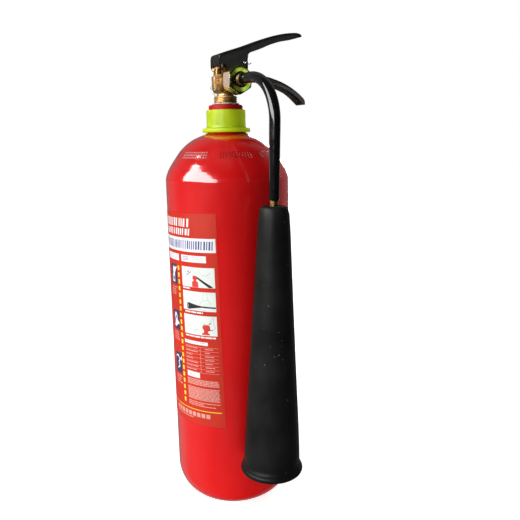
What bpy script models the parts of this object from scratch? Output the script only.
"""Portable carbon-dioxide fire extinguisher: red steel cylinder, brass squeeze-grip valve, swivelling
discharge tube with a plastic horn. Dimensions are in millimetres and the meshes in metres, +Z up.
The origin is the centre of the base on the ground, the handles point to +X (the front), the outlet
to -Y and the burst-disc plug to +Y."""
import bpy
import bmesh
import math
from contextlib import contextmanager
from mathutils import Matrix, Vector

for ob in list(bpy.data.objects):
    bpy.data.objects.remove(ob, do_unlink=True)

MM = 0.001

# ---------------------------------------------------------------- driving dimensions
GAP = 0.3                   # gap between neighbouring pieces
SHEET = 1.3                 # sheet thickness of lever and handle

CYL_R = 66.5                # cylinder radius
WALL = 4.0                  # cylinder wall
FLOOR_Z = 6.2               # inside face of the base
BASE_CORNER_R = 37.7        # rounding between the base and the wall
BASE_FLAT_R = 31.0          # radius of the flat standing face
WALL_TOP = 360.4            # where the straight wall meets the shoulder
NECK_R = 18.0
NECK_TOP = 440.5
NECK_BORE_R = 12.4

SHANK_R = 12.1              # threaded part of the valve, inside the neck
SEAT_Z = 458.5
OUT_Z = 463.4               # height of the outlet axis
BURST_Z = 458.8             # height of the burst-disc axis
PIVOT_X, PIVOT_Z = -6.5, 478.5      # lever pivot
PIVOT_R = 1.6
SAFETY_X, SAFETY_Z = 19.0, 482.6    # safety pin
SAFETY_R = 1.5
EYE_Y = 16.5                # centre of the safety pin's eye
RIVET_HOLE_R = 2.1

# Points on the axes that run along Y
OUTLET = (0, 0, OUT_Z)
BURST = (0, 0, BURST_Z)
PIVOT = (PIVOT_X, 0, PIVOT_Z)
SAFETY = (SAFETY_X, 0, SAFETY_Z)
RIVET_REAR = (17.5, 0, 466.4)
RIVET_FRONT = (24.6, 0, 466.1)

SWIVEL = (0, -30.0, OUT_Z)  # the discharge tube turns about this point
SWING = math.radians(1.63)  # how far the tube hangs off vertical at rest, towards -X
LEAN = math.radians(0.25)   # how far it leans outwards, held off by the rim of the horn
TUBE_Y = -97.1              # the hanging part of the tube and the horn

HELPER_PHASE = 3.7          # degrees a plain cylinder's facets are turned
WELD = 1e-6                 # merge distance, metres
FLAT_ANGLE = math.radians(0.3)      # edges flatter than this are dissolved after a boolean
SHARP_ANGLE = math.radians(32)      # edges steeper than this are shaded sharp


# ---------------------------------------------------------------- mesh helpers
@contextmanager
def editing(mesh):
    """Opens a mesh for bmesh editing and writes it back."""
    edit = bmesh.new()
    edit.from_mesh(mesh)
    yield edit
    edit.to_mesh(mesh)
    edit.free()


def new_object(name, verts, faces):
    mesh = bpy.data.meshes.new(name)
    mesh.from_pydata([tuple(c * MM for c in v) for v in verts], [], faces)
    with editing(mesh) as edit:
        bmesh.ops.remove_doubles(edit, verts=edit.verts, dist=WELD)
        bmesh.ops.recalc_face_normals(edit, faces=edit.faces)
    ob = bpy.data.objects.new(name, mesh)
    bpy.context.scene.collection.objects.link(ob)
    return ob


def revolve(name, loop, segments=24, axis="Z", at=(0, 0, 0), phase=0.0):
    """Turns a loop of (radius, height) about an axis through at. A loop that starts and ends on
    the axis is closed by its poles, any other is closed end to end. phase is in degrees."""
    on_axis = loop[0][0] < 1e-9 and loop[-1][0] < 1e-9
    verts, rings = [], []

    def place(radius, height, angle):
        c, s = radius * math.cos(angle), radius * math.sin(angle)
        x, y, z = {"Z": (c, s, height), "Y": (c, height, s), "X": (height, c, s)}[axis]
        return (x + at[0], y + at[1], z + at[2])

    for radius, height in loop:
        if radius < 1e-9:
            rings.append([len(verts)] * segments)
            verts.append(place(0, height, 0))
        else:
            rings.append([len(verts) + i for i in range(segments)])
            verts += [place(radius, height, 2 * math.pi * i / segments + math.radians(phase))
                      for i in range(segments)]
    faces = []
    for k in range(len(rings) - 1 if on_axis else len(rings)):
        lower, upper = rings[k], rings[(k + 1) % len(rings)]
        for i in range(segments):
            j = (i + 1) % segments
            # a pole repeats its vertex, so repeats are dropped
            face = list(dict.fromkeys((lower[i], lower[j], upper[j], upper[i])))
            if len(face) > 2:
                faces.append(face)
    return new_object(name, verts, faces)


def cylinder(name, radius, start, end, axis="Z", at=(0, 0, 0), segments=24, phase=HELPER_PHASE):
    loop = [(0, start), (radius, start), (radius, end), (0, end)]
    return revolve(name, loop, segments, axis, at, phase)


def sleeve(inner, outer, start, end):
    """Rectangular loop for a plain ring or tube."""
    return [(inner, start), (outer, start), (outer, end), (inner, end)]


def prism(name, outline, y0, y1):
    """Extrudes an (X, Z) outline from y0 to y1."""
    n = len(outline)
    verts = [(x, y0, z) for x, z in outline] + [(x, y1, z) for x, z in outline]
    faces = [list(range(n)), list(range(2 * n - 1, n - 1, -1))]
    faces += [[i, (i + 1) % n, n + (i + 1) % n, n + i] for i in range(n)]
    return new_object(name, verts, faces)


def box(name, x, y, z):
    return prism(name, [(x[0], z[0]), (x[1], z[0]), (x[1], z[1]), (x[0], z[1])], y[0], y[1])


def loft(name, stations):
    n = len(stations[0])
    verts = [p for station in stations for p in station]
    faces = [list(range(n)), [len(verts) - n + i for i in range(n)][::-1]]
    for k in range(len(stations) - 1):
        for i in range(n):
            j = (i + 1) % n
            faces.append([k * n + i, k * n + j, (k + 1) * n + j, (k + 1) * n + i])
    return new_object(name, verts, faces)


def sweep(name, path, radius, sides=12, bore=None, closed=False):
    """Carries a circle along a path, with an optional bore. radius may be a list, one per point."""
    points = [Vector(p) for p in path]
    n = len(points)
    radii = radius if isinstance(radius, list) else [radius] * n
    tangents = []
    for i in range(n):
        before = points[(i - 1) % n] if closed or i else points[0]
        after = points[(i + 1) % n] if closed or i < n - 1 else points[-1]
        tangents.append((after - before).normalized())
    across = tangents[0].orthogonal().normalized()
    frames = []
    for tangent in tangents:
        across = (across - tangent * across.dot(tangent)).normalized()
        frames.append((across.copy(), tangent.cross(across)))
    verts, faces = [], []

    def band(first, second):
        """Joins two rings of vertices, given by their first indices."""
        for k in range(sides):
            k2 = (k + 1) % sides
            faces.append([first + k, first + k2, second + k2, second + k])

    def skin(skin_radii):
        start = len(verts)
        for point, (side, up), ring_r in zip(points, frames, skin_radii):
            for k in range(sides):
                angle = 2 * math.pi * k / sides
                offset = side * (ring_r * math.cos(angle))
                verts.append(tuple(point + offset + up * (ring_r * math.sin(angle))))
        for i in range(n if closed else n - 1):
            band(start + i * sides, start + (i + 1) % n * sides)
        return start

    outer = skin(radii)
    if bore:
        inner = skin([bore] * n)
        for row in (0, n - 1):
            band(outer + row * sides, inner + row * sides)
    elif not closed:
        faces.append([outer + k for k in range(sides)])
        faces.append([outer + (n - 1) * sides + k for k in range(sides)][::-1])
    return new_object(name, verts, faces)


def combine(target, others, operation="DIFFERENCE"):
    """Applies each helper to the target as an exact boolean and removes the helper."""
    for other in others:
        with editing(target.data) as edit:
            bmesh.ops.triangulate(edit, faces=edit.faces)
        boolean = target.modifiers.new("cut", "BOOLEAN")
        boolean.solver = "EXACT"
        boolean.operation = operation
        boolean.object = other
        bpy.context.view_layer.update()
        evaluated = target.evaluated_get(bpy.context.evaluated_depsgraph_get())
        mesh = bpy.data.meshes.new_from_object(evaluated)
        target.modifiers.clear()
        target.data = mesh
        bpy.data.objects.remove(other, do_unlink=True)
    with editing(target.data) as edit:
        bmesh.ops.remove_doubles(edit, verts=edit.verts, dist=WELD)
        bmesh.ops.dissolve_limit(edit, angle_limit=FLAT_ANGLE, verts=edit.verts, edges=edit.edges)
        bmesh.ops.triangulate(edit, faces=edit.faces)


def finish(ob, mat, origin=None, swing=False):
    """Hangs a swivelling piece at rest, sets the origin and shading, and gives the material."""
    mesh = ob.data
    if swing:
        pivot = Matrix.Translation(Vector([c * MM for c in SWIVEL]))
        turn = Matrix.Rotation(SWING, 4, "Y") @ Matrix.Rotation(-LEAN, 4, "X")
        mesh.transform(pivot @ turn @ pivot.inverted())
        origin = SWIVEL
    if origin is not None:
        location = Vector([c * MM for c in origin])
        mesh.transform(Matrix.Translation(-location))
        ob.location = location
    for polygon in mesh.polygons:
        polygon.use_smooth = True
    with editing(mesh) as edit:
        for edge in edit.edges:
            if len(edge.link_faces) == 2 and edge.calc_face_angle() > SHARP_ANGLE:
                edge.smooth = False
    mesh.materials.clear()
    mesh.materials.append(mat)


# ---------------------------------------------------------------- outline helpers
def arc(centre_x, centre_z, radius, start, end, steps):
    """Points of an arc, angles in degrees."""
    angles = [math.radians(start + (end - start) * i / steps) for i in range(steps + 1)]
    return [(centre_x + radius * math.cos(a), centre_z + radius * math.sin(a)) for a in angles]


def circle(radius, count, shift=0):
    """Points round a circle about zero, turned by shift steps."""
    angles = [2 * math.pi * (i + shift) / count for i in range(count)]
    return [(radius * math.cos(a), radius * math.sin(a)) for a in angles]


def hexagon(corner_r, centre_z, phase):
    angles = [math.radians(60 * i + phase) for i in range(6)]
    return [(corner_r * math.cos(a), centre_z + corner_r * math.sin(a)) for a in angles]


def interp(table, x):
    """Reads a table of (x, value) at x, held level beyond its ends."""
    if x <= table[0][0]:
        return table[0][1]
    for (x0, y0), (x1, y1) in zip(table, table[1:]):
        if x <= x1:
            return y0 + (y1 - y0) * (x - x0) / (x1 - x0)
    return table[-1][1]


# ---------------------------------------------------------------- materials
def material(name, colour, roughness, metallic=0.0):
    mat = bpy.data.materials.new(name)
    mat.use_nodes = True
    shader = mat.node_tree.nodes["Principled BSDF"]
    shader.inputs["Base Color"].default_value = (*colour, 1.0)
    shader.inputs["Roughness"].default_value = roughness
    shader.inputs["Metallic"].default_value = metallic
    mat.diffuse_color = (*colour, 1.0)
    return mat


def metal(name, colour, roughness):
    return material(name, colour, roughness, metallic=1.0)


red_paint = material("red_paint", (0.62, 0.012, 0.012), roughness=0.22)
label_film = material("label_film", (0.60, 0.055, 0.018), roughness=0.38)
green_plastic = material("green_plastic", (0.42, 0.66, 0.005), roughness=0.42)
tape_white = material("tape_white", (0.85, 0.80, 0.70), roughness=0.60)
brass = metal("brass", (0.66, 0.42, 0.16), roughness=0.36)
brass_nipple = metal("brass_nipple", (0.78, 0.52, 0.16), roughness=0.30)
zinc_yellow = metal("zinc_yellow", (0.42, 0.46, 0.12), roughness=0.28)
steel = metal("steel", (0.56, 0.57, 0.58), roughness=0.30)
bright_wire = metal("bright_wire", (0.75, 0.75, 0.76), roughness=0.22)
black_paint = material("black_paint", (0.012, 0.012, 0.012), roughness=0.36)
black_tube = material("black_tube", (0.006, 0.006, 0.006), roughness=0.18)
black_horn = material("black_horn", (0.014, 0.015, 0.015), roughness=0.42)
rubber = material("rubber", (0.02, 0.02, 0.02), roughness=0.70)
copper = metal("copper", (0.72, 0.36, 0.24), roughness=0.35)
tube_plastic = material("tube_plastic", (0.62, 0.62, 0.60), roughness=0.45)
spring_steel = metal("spring_steel", (0.42, 0.43, 0.44), roughness=0.32)


# ---------------------------------------------------------------- cylinder
# Revolved profiles here and below are tables of (radius, height along the axis).
SHOULDER = [
    (CYL_R, WALL_TOP), (65.8, 366.8), (63.3, 373.1), (59.7, 379.5), (51.0, 392.0),
    (45.2, 398.2), (36.8, 404.1), (25.0, 409.3), (20.6, 411.4), (NECK_R, 417.0)]
NECK = [
    (NECK_R, NECK_TOP - 1.6), (NECK_R - 1.2, NECK_TOP),
    (NECK_BORE_R + 0.6, NECK_TOP), (NECK_BORE_R, NECK_TOP - 0.8)]
INSIDE_TOP = [
    (NECK_BORE_R, 416.0), (16.0, 409.0), (33.0, 400.0), (43.0, 392.6),
    (54.0, 379.0), (60.2, 366.8), (CYL_R - WALL, 357.0)]


def base_corner(wall_r, bottom, corner_r, angles):
    """Rounding from the base up to the wall, angles in degrees from straight down."""
    return [(wall_r - corner_r + corner_r * math.sin(math.radians(a)),
             bottom + corner_r * (1 - math.cos(math.radians(a)))) for a in angles]


def cylinder_shell():
    outside = [(0, 0), (BASE_FLAT_R, 0)]
    outside += base_corner(CYL_R, 0, BASE_CORNER_R, (15, 30, 45, 60, 75, 90))
    inside_r = BASE_CORNER_R - WALL - 0.5
    inside = INSIDE_TOP + base_corner(CYL_R - WALL, FLOOR_Z, inside_r, (90, 66, 44, 22, 2))
    loop = outside + SHOULDER + NECK + inside + [(0, FLOOR_Z)]
    finish(revolve("cylinder_shell", loop, 48), red_paint)


def label():
    """Thin film wrapped round the wall, tilted a little."""
    inner_r = CYL_R + 0.15
    thickness = 0.3
    start, end = -277.7, -127.7         # degrees round the cylinder
    bottom, top = 105.0, 333.3
    tilt = math.radians(0.84)
    level_angle = -118.2                # degrees, where the tilted levels are not shifted
    upright_z = 200.0                   # height at which the ends are not shifted
    columns = 30
    verts, faces = [], []
    for radius in (inner_r, inner_r + thickness):
        for i in range(columns + 1):
            for z in (bottom, top):
                angle = start + (end - start) * i / columns
                angle -= math.degrees(tilt * (z - upright_z) / CYL_R)
                rise = tilt * CYL_R * math.radians(angle - level_angle)
                turn = math.radians(angle)
                verts.append((radius * math.cos(turn), radius * math.sin(turn), z + rise))
    layer = 2 * (columns + 1)
    for i in range(columns):
        a, b, c, d = 2 * i, 2 * i + 2, 2 * i + 3, 2 * i + 1
        faces += [[a, b, c, d], [a + layer, d + layer, c + layer, b + layer]]
        faces += [[a, a + layer, b + layer, b], [d, c, c + layer, d + layer]]
    for i in (0, columns):
        faces.append([2 * i, 2 * i + 1, 2 * i + 1 + layer, 2 * i + layer])
    finish(new_object("label", verts, faces), label_film)


def neck_collar():
    body_r, rim_r = 20.7, 25.4
    bottom, rim_top, top = 412.2, 416.2, 435.3
    finish(revolve("neck_collar", [
        (22.6, bottom), (rim_r - 0.9, bottom), (rim_r, bottom + 0.9), (rim_r, rim_top - 1.4),
        (rim_r - 1.2, rim_top - 0.2), (body_r + 1.0, rim_top + 0.3), (body_r, rim_top + 1.6),
        (body_r, top - 1.0), (body_r - 0.9, top), (NECK_R + GAP, top),
        (NECK_R + GAP, 417.8), (20.6, 414.2)], 36), green_plastic)


def thread_seal_tape():
    finish(revolve("thread_seal_tape", [
        (SHANK_R + GAP, NECK_TOP + GAP), (14.4, NECK_TOP + GAP), (14.6, NECK_TOP + 0.8),
        (13.6, NECK_TOP + 1.6), (SHANK_R + GAP, NECK_TOP + 1.6)], 24), tape_white)


# ---------------------------------------------------------------- valve body
SHANK = [
    (0, 419.0), (11.2, 419.0), (SHANK_R, 420.0), (SHANK_R, 442.9),
    (SHANK_R - 0.8, 443.6), (SHANK_R + 0.2, 444.4), (SHANK_R - 0.8, 445.2),
    (SHANK_R + 0.2, 446.0), (SHANK_R - 0.8, 446.8), (SHANK_R + 0.2, 447.6),
    (SHANK_R - 0.6, 448.9), (8.7, 449.4), (8.7, 452.4), (9.5, 454.0), (0, 455.0)]

# Upright bores: radius, bottom, top, segments
UPRIGHT_BORES = [
    (4.9, 418.0, SEAT_Z, 24),           # main bore, open downwards
    (2.6, SEAT_Z - 1, 461.5, 16),       # seat opening
    (3.4, 460.5, 467.0, 16),            # chamber at the outlet
    (2.3, 466.0, 472.0, 16),            # stem guide
    (3.6, 471.2, 475.5, 16),            # room for the O-ring
    (4.25, 474.5, 485.0, 20)]           # room for the gland, open upwards


def valve_block():
    """Main block, with a rounded lug round the lever pivot at its rear."""
    half_width = 8.5
    rear, front = -10.0, 13.0
    bottom, top = 453.0, 484.0
    lug_front, lug_r = -4.6, 2.9
    outline = [
        (rear, bottom + 1.2), (rear + 1.2, bottom), (front - 1.2, bottom), (front, bottom + 1.2),
        (front, top), (lug_front, top), (lug_front, PIVOT_Z + lug_r)]
    outline += arc(PIVOT_X, PIVOT_Z, lug_r, 90, 180, 6)
    outline += [(PIVOT_X - lug_r, 477.0), (rear, 476.2)]
    return prism("block", outline, -half_width, half_width)


def valve_nose():
    """Block at the front that carries the handle and the safety pin."""
    half_width, front = 6.9, 28.0
    return prism("nose", [
        (10, 461.9), (front - 1.5, 461.9), (front, 463.4), (front, 469.3), (front - 1.0, 470.3),
        (24.0, 470.6), (24.0, 484.6), (22.6, 486.0), (10, 486.0), (10, 480)],
        -half_width, half_width)


def outlet_boss():
    return revolve("outlet_boss", [
        (0, -4.0), (9.2, -4.0), (9.2, -16.0), (10.0, -16.8), (10.0, -26.2),
        (9.4, -27.0), (0, -27.0)], 28, "Y", OUTLET, 2.3)


def burst_boss():
    return revolve("burst_boss", [
        (0, 4.0), (7.6, 4.0), (7.6, 11.4), (7.0, 12.0), (0, 12.0)], 24, "Y", BURST, 2.9)


def safety_slot():
    """Upright slot through the nose, round the safety pin."""
    rear, front = SAFETY_X - 2.1, SAFETY_X + 2.4
    return box("safety_slot", (rear, front), (-8.0, 8.0), (474.3, 484.6))


def rivet_holes(half_length):
    return [cylinder("rivet_hole", RIVET_HOLE_R, -half_length, half_length, "Y", at, 20)
            for at in (RIVET_REAR, RIVET_FRONT)]


def valve_body():
    valve = revolve("valve_body", SHANK, 32)
    combine(valve, [valve_block(), valve_nose(), outlet_boss(), burst_boss()], "UNION")
    cuts = [cylinder("bore", radius, bottom, top, segments=segments)
            for radius, bottom, top, segments in UPRIGHT_BORES]
    cuts += [
        cylinder("outlet_bore", 2.9, -28.0, 0.0, "Y", OUTLET, 16),
        cylinder("burst_passage", 1.2, 3.0, 9.0, "Y", (0, 0, BURST_Z - 1.9), 12),
        cylinder("burst_socket", 4.35, 7.9, 13.0, "Y", BURST, 20),
        cylinder("pivot_hole", PIVOT_R + 0.3, -9.0, 9.0, "Y", PIVOT, 20),
        box("lug_slot", (-11.0, -6.9), (-2.0, 2.0), (470.0, 490.0)),
        safety_slot()]
    combine(valve, cuts + rivet_holes(8.0))
    finish(valve, brass)


# ---------------------------------------------------------------- inside the valve
def siphon_tube():
    finish(revolve("siphon_tube", sleeve(3.7, 4.6, 12.0, 436.4), 20), tube_plastic)


def spring_retainer():
    finish(revolve("spring_retainer", sleeve(2.0, 4.6, 437.0, 440.7), 16), brass)


def return_spring():
    bottom, top = 441.0, 451.6
    coil_r, wire_r = 3.4, 0.5
    per_turn, turns = 12, 5
    end_steps, end_rise = 8, 0.65       # each end coil rises less steeply over these steps
    steps = per_turn * turns
    travel = top - bottom - 2 * wire_r - 2 * end_rise
    path = []
    for i in range(steps + 1):
        angle = 2 * math.pi * i / per_turn
        share = min(1.0, max(0.0, (i - end_steps) / (steps - 2 * end_steps)))
        first = end_rise * min(1.0, i / end_steps)
        last = end_rise * max(0.0, (i - steps + end_steps) / end_steps)
        z = bottom + wire_r + share * travel + first + last
        path.append((coil_r * math.cos(angle), coil_r * math.sin(angle), z))
    finish(sweep("return_spring", path, wire_r, 5), spring_steel, origin=(0, 0, bottom))


def seat_plug():
    shoulder_z = 451.9
    loop = [(0, 449.6), (2.4, 449.6), (2.4, shoulder_z), (4.2, shoulder_z), (4.2, 456.7), (0, 456.7)]
    finish(revolve("seat_plug", loop, 16), brass, origin=(0, 0, shoulder_z))


def seat_face():
    bottom = 457.0
    face = cylinder("seat_face", 4.2, bottom, SEAT_Z - GAP, segments=16)
    finish(face, rubber, origin=(0, 0, bottom))


def valve_stem():
    """Stem with a domed head."""
    stem_r, head_r = 2.0, 3.0
    stem_top, dome_z = 487.0, 489.06
    loop = [(0, 458.5), (1.6, 458.5), (stem_r, 459.0), (stem_r, stem_top), (head_r, 487.4)]
    loop += arc(0, dome_z, head_r, 0, 90, 4)[:-1] + [(0, dome_z + head_r)]
    finish(revolve("valve_stem", loop, 16), steel, origin=(0, 0, stem_top))


def stem_o_ring():
    path = [(x, y, 472.85) for x, y in circle(2.75, 16)]
    finish(sweep("stem_o_ring", path, 0.6, 6, closed=True), rubber)


def stem_gland():
    finish(revolve("stem_gland", sleeve(2.3, 3.9, 474.9, 484.3), 16), brass)


# ---------------------------------------------------------------- burst-disc assembly
def burst_gasket():
    finish(revolve("burst_gasket", sleeve(2.0, 4.0, 8.2, 8.8), 16, "Y", BURST), copper)


def burst_disc():
    loop = [(0, 9.9), (2.4, 9.35), (4.0, 9.35), (4.0, 9.1), (2.2, 9.1), (0, 9.6)]
    finish(revolve("burst_disc", loop, 16, "Y", BURST), copper)


def burst_plug():
    """Hexagon head with rounded corners, a spigot, a blind bore and a cross hole."""
    plug = prism("burst_plug", hexagon(8.3, BURST_Z, 0), 12.3, 19.0)
    rounding = revolve("rounding", [
        (0, 12.0), (8.5, 12.0), (8.5, 17.8), (7.0, 19.2), (0, 19.2)], 24, "Y", BURST, 4.1)
    combine(plug, [rounding], "INTERSECT")
    combine(plug, [cylinder("spigot", 4.0, 10.3, 13.0, "Y", BURST, 24)], "UNION")
    combine(plug, [
        cylinder("blind_bore", 2.0, 10.0, 16.5, "Y", BURST, 16),
        cylinder("cross_hole", 1.2, -9.6, 9.6, "X", (0, 15.4, BURST_Z), 14)])
    finish(plug, brass)


# ---------------------------------------------------------------- outlet
def outlet_nut():
    across_flats = 25.4
    inner_y, outer_y = -20.0, -34.0
    corner_r = across_flats / 2 / math.cos(math.radians(30))
    nut = prism("outlet_nut", hexagon(corner_r, OUT_Z, 30), outer_y, inner_y)
    rounding = revolve("rounding", [
        (0, inner_y + 0.2), (corner_r + 0.3, inner_y + 0.2), (corner_r + 0.3, outer_y + 1.5),
        (corner_r - 2.3, outer_y - 0.1), (0, outer_y - 0.1)], 36, "Y", OUTLET, 3.1)
    combine(nut, [rounding], "INTERSECT")
    combine(nut, [
        cylinder("thread_bore", 10.3, inner_y + 1, -30.7, "Y", OUTLET, 28),
        cylinder("union_hole", 6.5, -36.0, -29.0, "Y", OUTLET, 24)])
    finish(nut, zinc_yellow)


def outlet_gasket():
    finish(revolve("outlet_gasket", sleeve(4.0, 8.6, -27.3, -28.3), 20, "Y", OUTLET), rubber)


def tube_union():
    loop = [(3.0, -28.6), (9.3, -28.6), (9.3, -30.4), (6.0, -30.4), (6.0, -38.5), (3.0, -38.5)]
    finish(revolve("tube_union", loop, 24, "Y", OUTLET), brass_nipple, swing=True)


def discharge_tube():
    """Runs out from the union, bends down a quarter turn and hangs to the horn."""
    tube_r, end_r, bore_r = 5.3, 5.1, 3.4
    start_y, end_z = -38.8, 347.0
    bend_r, bend_steps = 43.5, 10
    path = [(0, start_y, OUT_Z), (0, TUBE_Y + bend_r, OUT_Z)]
    for i in range(1, bend_steps + 1):
        angle = math.radians(90 / bend_steps * i)
        y = TUBE_Y + bend_r - bend_r * math.sin(angle)
        path.append((0, y, OUT_Z - bend_r * (1 - math.cos(angle))))
    path.append((0, TUBE_Y, end_z))
    radii = [tube_r] * (len(path) - 1) + [end_r]
    finish(sweep("discharge_tube", path, radii, 16, bore_r), black_tube, swing=True)


def horn_nipple():
    nipple = revolve("horn_nipple", [
        (1.6, 333.0), (2.6, 333.0), (3.8, 335.2), (6.2, 335.2), (6.2, 338.6), (4.0, 338.6),
        (4.0, 346.7), (3.1, 346.7), (3.1, 360.0), (1.6, 360.0)], 16, "Z", (0, TUBE_Y, 0))
    finish(nipple, brass_nipple, swing=True)


HORN_OUTSIDE = [
    (4.4, 342.0), (10.8, 342.0), (12.7, 340.9), (14.0, 339.0), (14.8, 335.0), (16.4, 311.0),
    (18.4, 273.0), (21.3, 221.0), (24.2, 168.0), (28.3, 92.0), (28.7, 80.5)]
HORN_INSIDE = [
    (26.7, 92.0), (22.6, 168.0), (16.8, 273.0), (14.7, 311.0), (12.0, 338.0), (4.4, 339.3)]


def horn():
    """Flared horn with a rounded bead round its mouth."""
    centre_r, centre_z, bead_r = 28.1, 73.7, 3.5
    bead = arc(centre_r, centre_z, bead_r, 60, -90, 5) + [(centre_r - 1.4, centre_z - bead_r)]
    loop = HORN_OUTSIDE + bead + HORN_INSIDE
    finish(revolve("horn", loop, 32, "Z", (0, TUBE_Y, 0)), black_horn, swing=True)


# ---------------------------------------------------------------- sheet channels
def channel(name, xs, top_at, low_at, half_at, corner=1.8):
    """Solid along X with rounded upper edges; height and half width are functions of x."""
    stations = []
    for x in xs:
        top, low, half = top_at(x), low_at(x), half_at(x)
        edge = min(corner, (top - low) * 0.45)      # kept under half the height
        inset = 0.3 * edge                          # middle point of the rounding
        stations.append([
            (x, -half, low), (x, -half, top - edge), (x, -half + inset, top - inset),
            (x, -half + edge, top), (x, half - edge, top), (x, half - inset, top - inset),
            (x, half, top - edge), (x, half, low)])
    return loft(name, stations)


def station_xs(*tables):
    return sorted({round(x, 3) for table in tables for x, _ in table})


# Lever, side view: (x, z)
LEVER_TOP = [
    (-11.4, 488.2), (-10.9, 489.6), (-9.6, 490.5), (3.4, 495.1), (20.0, 500.4), (38.5, 507.3),
    (48.3, 510.5), (54.1, 512.3), (70.2, 516.1), (79.0, 517.4), (85.0, 517.9), (89.5, 517.7),
    (92.6, 516.8), (94.2, 515.2)]
LEVER_LOW = [
    (-11.4, 479.0), (-10.8, 477.2), (-9.8, 476.2), (-8.6, 475.6), (-6.5, 475.4), (-1.8, 476.4),
    (20.4, 479.4), (21.4, 480.4), (22.0, 483.2), (22.8, 491.0), (24.4, 493.2), (35.4, 497.0),
    (45.6, 501.1), (56.0, 504.7), (61.3, 506.7), (66.6, 507.9), (71.9, 509.4), (77.2, 511.0),
    (82.6, 512.1), (90.0, 513.5), (94.2, 515.0)]
LEVER_HALF = 10.3           # half width over the cheeks
TAPER_X, TAPER_LENGTH, TAPER = 85, 9.2, 3.4     # the front tip narrows by TAPER a side


def lever_half(x):
    if x < TAPER_X:
        return LEVER_HALF
    return LEVER_HALF - TAPER * ((x - TAPER_X) / TAPER_LENGTH) ** 2


def squeeze_lever():
    """Channel open downwards and at the lower rear, with holes for both pins."""
    xs = station_xs(LEVER_TOP, LEVER_LOW)
    lever = channel("squeeze_lever", xs, lambda x: interp(LEVER_TOP, x),
                    lambda x: interp(LEVER_LOW, x), lever_half)
    pocket = channel(
        "pocket", [-9.8] + [x for x in xs if -9.0 < x < 92.0] + [92.4],
        lambda x: interp(LEVER_TOP, x) - SHEET - (0.15 if x < -8 else 0),
        lambda x: interp(LEVER_LOW, x) - 3.0,
        lambda x: lever_half(x) - SHEET, corner=0.9)
    half_inside = LEVER_HALF - SHEET
    rear = box("rear_opening", (-14.0, -9.0), (-half_inside, half_inside), (470.0, 479.0))
    pivot_hole = cylinder("pivot_hole", PIVOT_R + 0.06, -14, 14, "Y", PIVOT, 24, 0.0)
    safety_hole = cylinder("safety_hole", SAFETY_R + 0.3, -14, 14, "Y", SAFETY, 16)
    combine(lever, [pocket, rear, pivot_hole, safety_hole])
    finish(lever, black_paint, origin=PIVOT)


def lever_pivot_pin():
    finish(revolve("lever_pivot_pin", [
        (0, -11.6), (2.3, -11.6), (2.9, -11.1), (2.9, -10.6), (PIVOT_R, -10.6),
        (PIVOT_R, 10.6), (2.9, 10.6), (2.9, 11.1), (2.3, 11.6), (0, 11.6)], 24, "Y", PIVOT), steel)


# Handle, side view: (x, z)
HANDLE_TOP = [
    (13.4, 471.6), (24.4, 472.4), (36.0, 471.8), (46.0, 470.8), (52.0, 469.9), (64.0, 466.7),
    (72.2, 463.7), (80.5, 459.8), (88.9, 454.7), (94.8, 450.3), (97.0, 448.3), (98.2, 446.5),
    (98.6, 444.9)]
HANDLE_LOW = [
    (13.4, 463.0), (27.8, 463.0), (34.0, 465.4), (46.0, 465.0), (56.4, 462.7), (64.0, 460.7),
    (69.7, 458.3), (78.6, 454.9), (86.3, 450.1), (93.4, 444.3), (96.2, 442.0), (97.8, 441.9),
    (98.6, 443.2)]
# Handle, half width: (x, half width)
HANDLE_HALF = [
    (13.4, 8.5), (30.0, 8.5), (44.0, 8.1), (64.0, 8.0), (93.4, 8.0), (97.0, 7.7), (98.6, 6.9)]


def carry_handle():
    """Channel open downwards, its rear end cut to a fork round the valve's nose."""
    xs = station_xs(HANDLE_TOP, HANDLE_LOW, HANDLE_HALF)
    handle = channel("carry_handle", xs, lambda x: interp(HANDLE_TOP, x),
                     lambda x: interp(HANDLE_LOW, x), lambda x: interp(HANDLE_HALF, x))
    # beyond x = 60 the pocket's roof drops a further 0.12 every 10 mm
    pocket = channel(
        "pocket", [12.0] + [x for x in xs if 13.0 < x < 95.0] + [96.5],
        lambda x: interp(HANDLE_TOP, x) - SHEET - 0.12 * max(0.0, (x - 60) / 10),
        lambda x: interp(HANDLE_LOW, x) - 3.0,
        lambda x: interp(HANDLE_HALF, x) - SHEET, corner=0.8)
    fork = box("fork", (12.0, 24.4), (-10.0, 10.0), (469.9, 480.0))
    combine(handle, [pocket, fork] + rivet_holes(12))
    finish(handle, black_paint)


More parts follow.
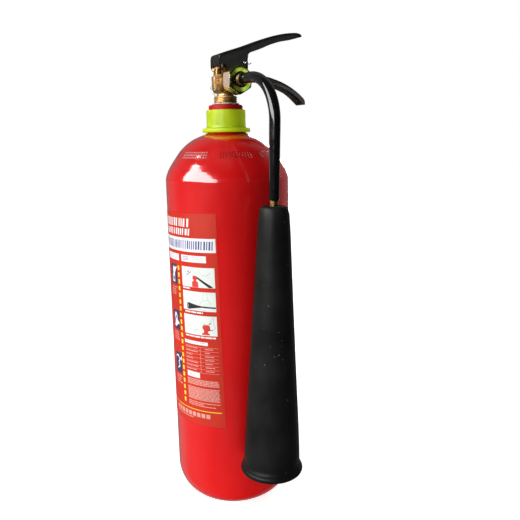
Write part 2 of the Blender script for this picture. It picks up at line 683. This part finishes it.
def handle_rivets():
    loop = [(0, -9.9), (2.0, -9.7), (2.8, -8.8), (1.8, -8.8),
            (1.8, 8.8), (2.8, 8.8), (2.0, 9.7), (0, 9.9)]
    for name, at in (("handle_rivet_rear", RIVET_REAR), ("handle_rivet_front", RIVET_FRONT)):
        finish(revolve(name, loop, 14, "Y", at), steel)


# ---------------------------------------------------------------- safety pin, ring, tamper seal
def safety_pin():
    pin = revolve("safety_pin", [
        (0, -13.6), (0.9, -13.4), (SAFETY_R, -12.6), (SAFETY_R, 11.0), (2.6, 11.2),
        (2.6, 12.4), (SAFETY_R, 12.7), (SAFETY_R, 14.6), (0, 14.6)], 16, "Y", SAFETY)
    eye_path = [(SAFETY_X, EYE_Y + y, SAFETY_Z + z) for y, z in circle(2.6, 16, shift=0.37)]
    combine(pin, [sweep("eye", eye_path, 1.05, 8, closed=True)], "UNION")
    finish(pin, bright_wire, origin=SAFETY)


def pull_ring():
    ring_r, wire_r = 9.5, 1.0
    path = [(SAFETY_X + x, EYE_Y, SAFETY_Z - ring_r + z) for x, z in circle(ring_r, 32)]
    ring = sweep("pull_ring", path, wire_r, 8, closed=True)
    finish(ring, bright_wire, origin=(SAFETY_X, EYE_Y, SAFETY_Z))


def tamper_seal():
    """Wire looped round the -Y end of the safety pin, with a free tail."""
    loop_r, wire_r, seal_y = 2.25, 0.4, -11.6
    angles = [math.radians(a) for a in range(40, 331, 29)]
    offsets = [(loop_r * math.cos(a), loop_r * math.sin(a)) for a in angles]
    offsets += [(2.8, -0.7), (4.0, -1.0), (5.2, -0.7), (6.1, 0.2), (6.5, 1.6)]
    path = [(SAFETY_X + x, seal_y, SAFETY_Z + z) for x, z in offsets]
    finish(sweep("tamper_seal", path, wire_r, 6), bright_wire)


for build in (
        cylinder_shell, label, neck_collar, thread_seal_tape, valve_body,
        siphon_tube, spring_retainer, return_spring, seat_plug, seat_face,
        valve_stem, stem_o_ring, stem_gland, burst_gasket, burst_disc, burst_plug,
        outlet_nut, outlet_gasket, tube_union, discharge_tube, horn_nipple, horn,
        squeeze_lever, lever_pivot_pin, carry_handle, handle_rivets,
        safety_pin, pull_ring, tamper_seal):
    build()
